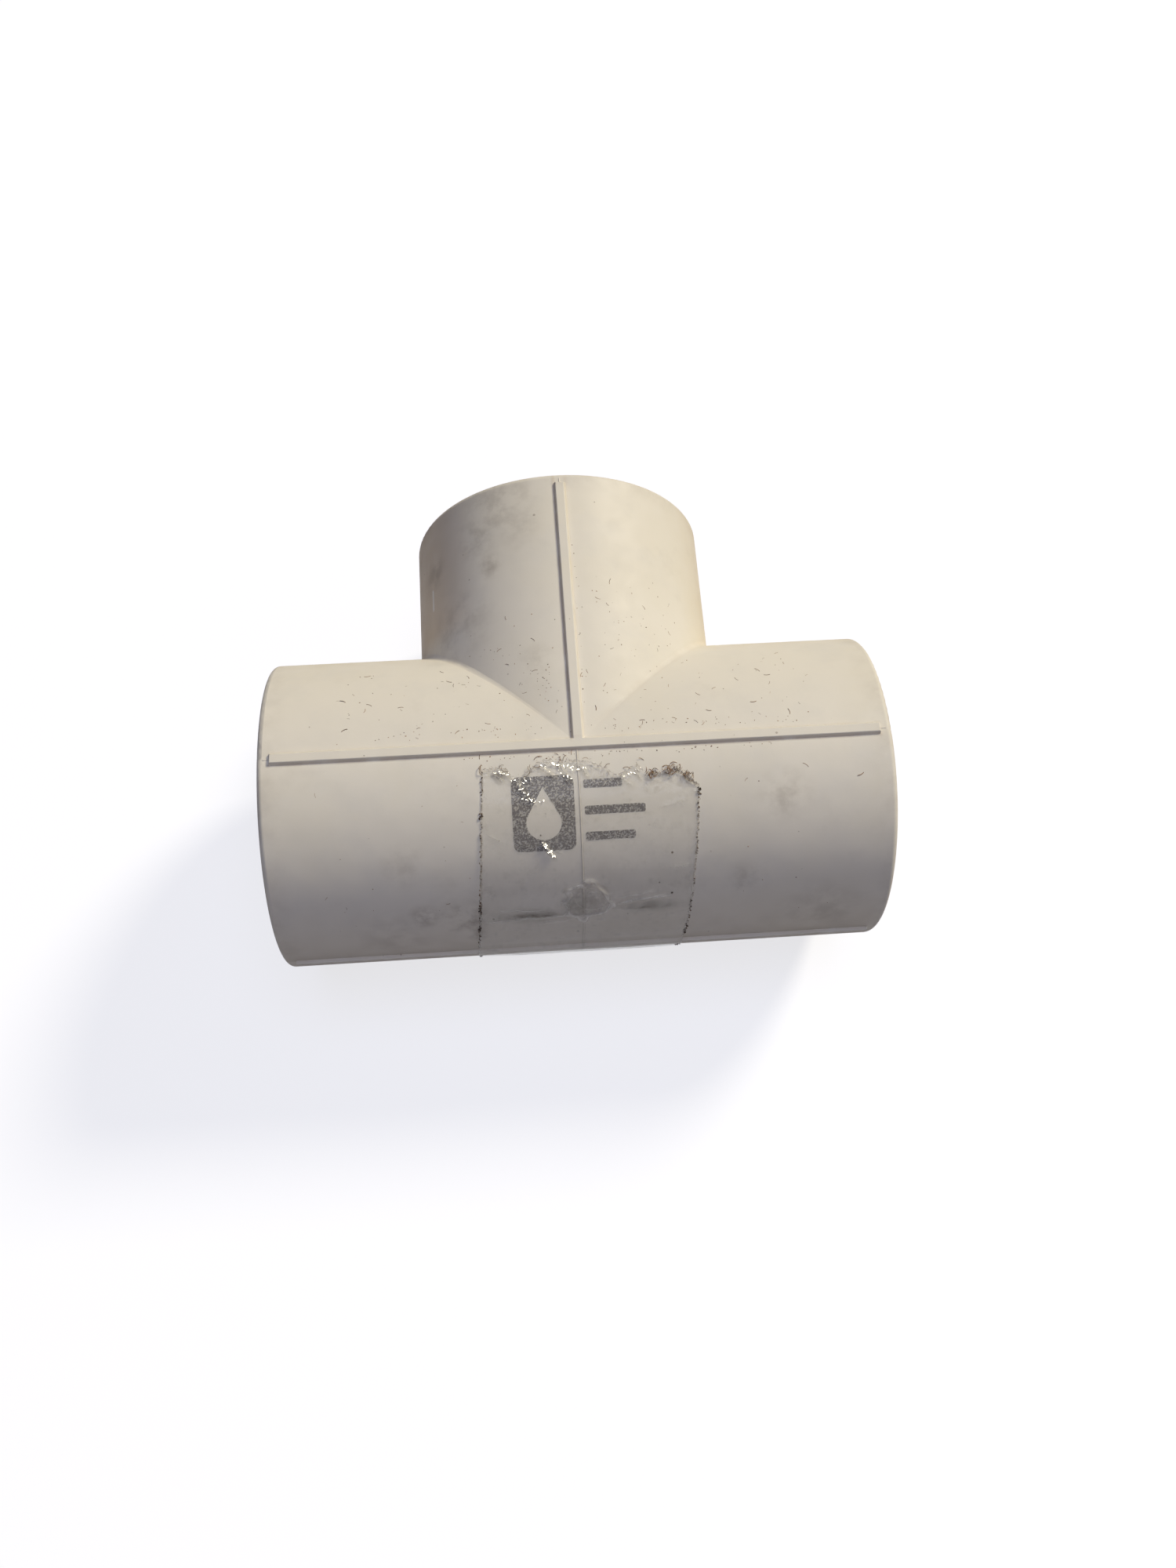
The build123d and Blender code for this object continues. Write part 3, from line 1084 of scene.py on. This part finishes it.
hairs = spread_over(
    sprinkle_tree,
    sprinkle_in["Geometry"],
    "hairs",
    hair,
    hair_scale,
    calc(sprinkle_tree, "ADD", sprinkle_in["Seed"], 5.0),
)
both = put(sprinkle_tree, "GeometryNodeJoinGeometry", {}).inputs[0]
sprinkle_tree.links.new(crumbs, both)
sprinkle_tree.links.new(hairs, both)
close_tree(sprinkle_tree, both.node.outputs[0], dusty_fibre, sprinkle_out)

per_square_mm = 1e6
corners = []
faces = []
crumb_amounts = []
hair_amounts = []
for where, firsts, seconds, keep, crumb_density, hair_density in (
    (on_run, range(-30, 31), range(-42, -3, 3), clear_of_branch, 0.060, 0.065),
    (on_run, range(-30, 31), range(-8, -3, 2), clear_of_branch, 0.80, 0.20),
    (on_run, range(-14, 25), range(3, 6, 2), clear_of_branch, 1.90, 0.18),
    (on_branch, range(5, 12), range(-13, -6, 2), clear_of_run, 1.60, 0.24),
    (on_run, range(-34, -13), range(10, 75, 5), clear_of_branch, 0.030, 0.008),
    (on_run, range(15, 35), range(10, 75, 5), clear_of_branch, 0.030, 0.008),
    (on_branch, range(4, 24), range(5, 50, 5), clear_of_run, 0.150, 0.075),
    (on_branch, range(4, 20), range(-40, -3, 4), clear_of_run, 0.150, 0.085),
    (on_branch, range(4, 30), range(3, 6, 2), clear_of_run, 0.90, 0.12),
):
    for first, next_first in zip(firsts, firsts[1:]):
        for second, next_second in zip(seconds, seconds[1:]):
            four = [
                where(first, second), where(next_first, second),
                where(next_first, next_second), where(first, next_second),
            ]
            if all(keep(corner) for corner in four):
                faces.append(tuple(range(len(corners), len(corners) + 4)))
                corners += [corner * mm for corner in four]
                crumb_amounts.append(crumb_density * per_square_mm)
                hair_amounts.append(hair_density * per_square_mm)
dusty_mesh = bpy.data.meshes.new("loose_dirt")
dusty_mesh.from_pydata(corners, [], faces)
for name, amounts in (("crumbs", crumb_amounts), ("hairs", hair_amounts)):
    dusty_mesh.attributes.new(name, "FLOAT", "FACE").data.foreach_set("value", amounts)
loose_dirt = bpy.data.objects.new("loose_dirt", dusty_mesh)
bpy.context.scene.collection.objects.link(loose_dirt)
grow(
    loose_dirt,
    sprinkle_tree,
    {"Crumb size": 0.085 * mm, "Hair length": 0.80 * mm, "Hair thickness": 0.032 * mm, "Seed": 5},
)
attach(loose_dirt, "root")

# ---- floor, lights and camera ----
# A plain sheet of white card under plain studio light: a warm lamp high on the right behind the
# branch, a broad cool ceiling, and a weak fill from the front. The card gives off light of its own
# to stay pale, hidden from diffuse rays, and only the camera sees the pale backdrop.
card, tree, shader = new_material("white_card")
shader.inputs["Base Color"].default_value = (0.38, 0.39, 0.44, 1)
shader.inputs["Roughness"].default_value = 0.95
shader.inputs["Emission Color"].default_value = (0.98, 0.98, 1.0, 1)
shader.inputs["Emission Strength"].default_value = 0.74
reach = 1.5
level = body_low.z
floor_mesh = bpy.data.meshes.new("floor")
floor_mesh.from_pydata(
    [(-reach, -reach, level), (reach, -reach, level), (reach, reach, level), (-reach, reach, level)],
    [],
    [(0, 1, 2, 3)],
)
floor_mesh.materials.append(card)
floor = bpy.data.objects.new("floor", floor_mesh)
bpy.context.scene.collection.objects.link(floor)
floor.visible_diffuse = False


def studio_lamp(name, towards, distance, width, power, colour):
    lamp = bpy.data.lights.new(name, "AREA")
    lamp.shape = "DISK"
    lamp.size = width
    lamp.energy = power
    lamp.color = colour
    light = bpy.data.objects.new(name, lamp)
    direction = Vector(towards).normalized()
    light.location = direction * distance
    light.rotation_euler = direction.to_track_quat("Z", "Y").to_euler()
    bpy.context.scene.collection.objects.link(light)


studio_lamp("warm_lamp", (0.596, 0.510, 0.621), 2.5, 0.6, 49.0, (1, 0.905, 0.68))
studio_lamp("cool_ceiling", (0, 0, 1), 2.0, 1.4, 11.8, (0.72, 0.79, 1))
studio_lamp("cool_front", (0.2, -0.8, 0.56), 2.0, 1.4, 3.7, (0.98, 0.93, 0.93))

world = bpy.data.worlds.new("studio")
bpy.context.scene.world = world
world.use_nodes = True
seen = put(world.node_tree, "ShaderNodeLightPath", {}).outputs["Is Camera Ray"]
backdrop = tint(world.node_tree, seen, (0.030, 0.018, 0.016, 1), (0.90, 0.90, 0.91, 1))
world.node_tree.links.new(backdrop, world.node_tree.nodes["Background"].inputs["Color"])

lens = bpy.data.cameras.new("camera")
lens.lens = 29.7
lens.sensor_width = 36
lens.clip_start = 0.01
camera = bpy.data.objects.new("camera", lens)
camera.location = Vector((-7.75, -60.63, 166.09)) * mm
camera.rotation_euler = Euler([math.radians(angle) for angle in (20.904, -1.840, -4.006)])
bpy.context.scene.collection.objects.link(camera)
bpy.context.scene.camera = camera
bpy.context.scene.view_settings.view_transform = "Standard"
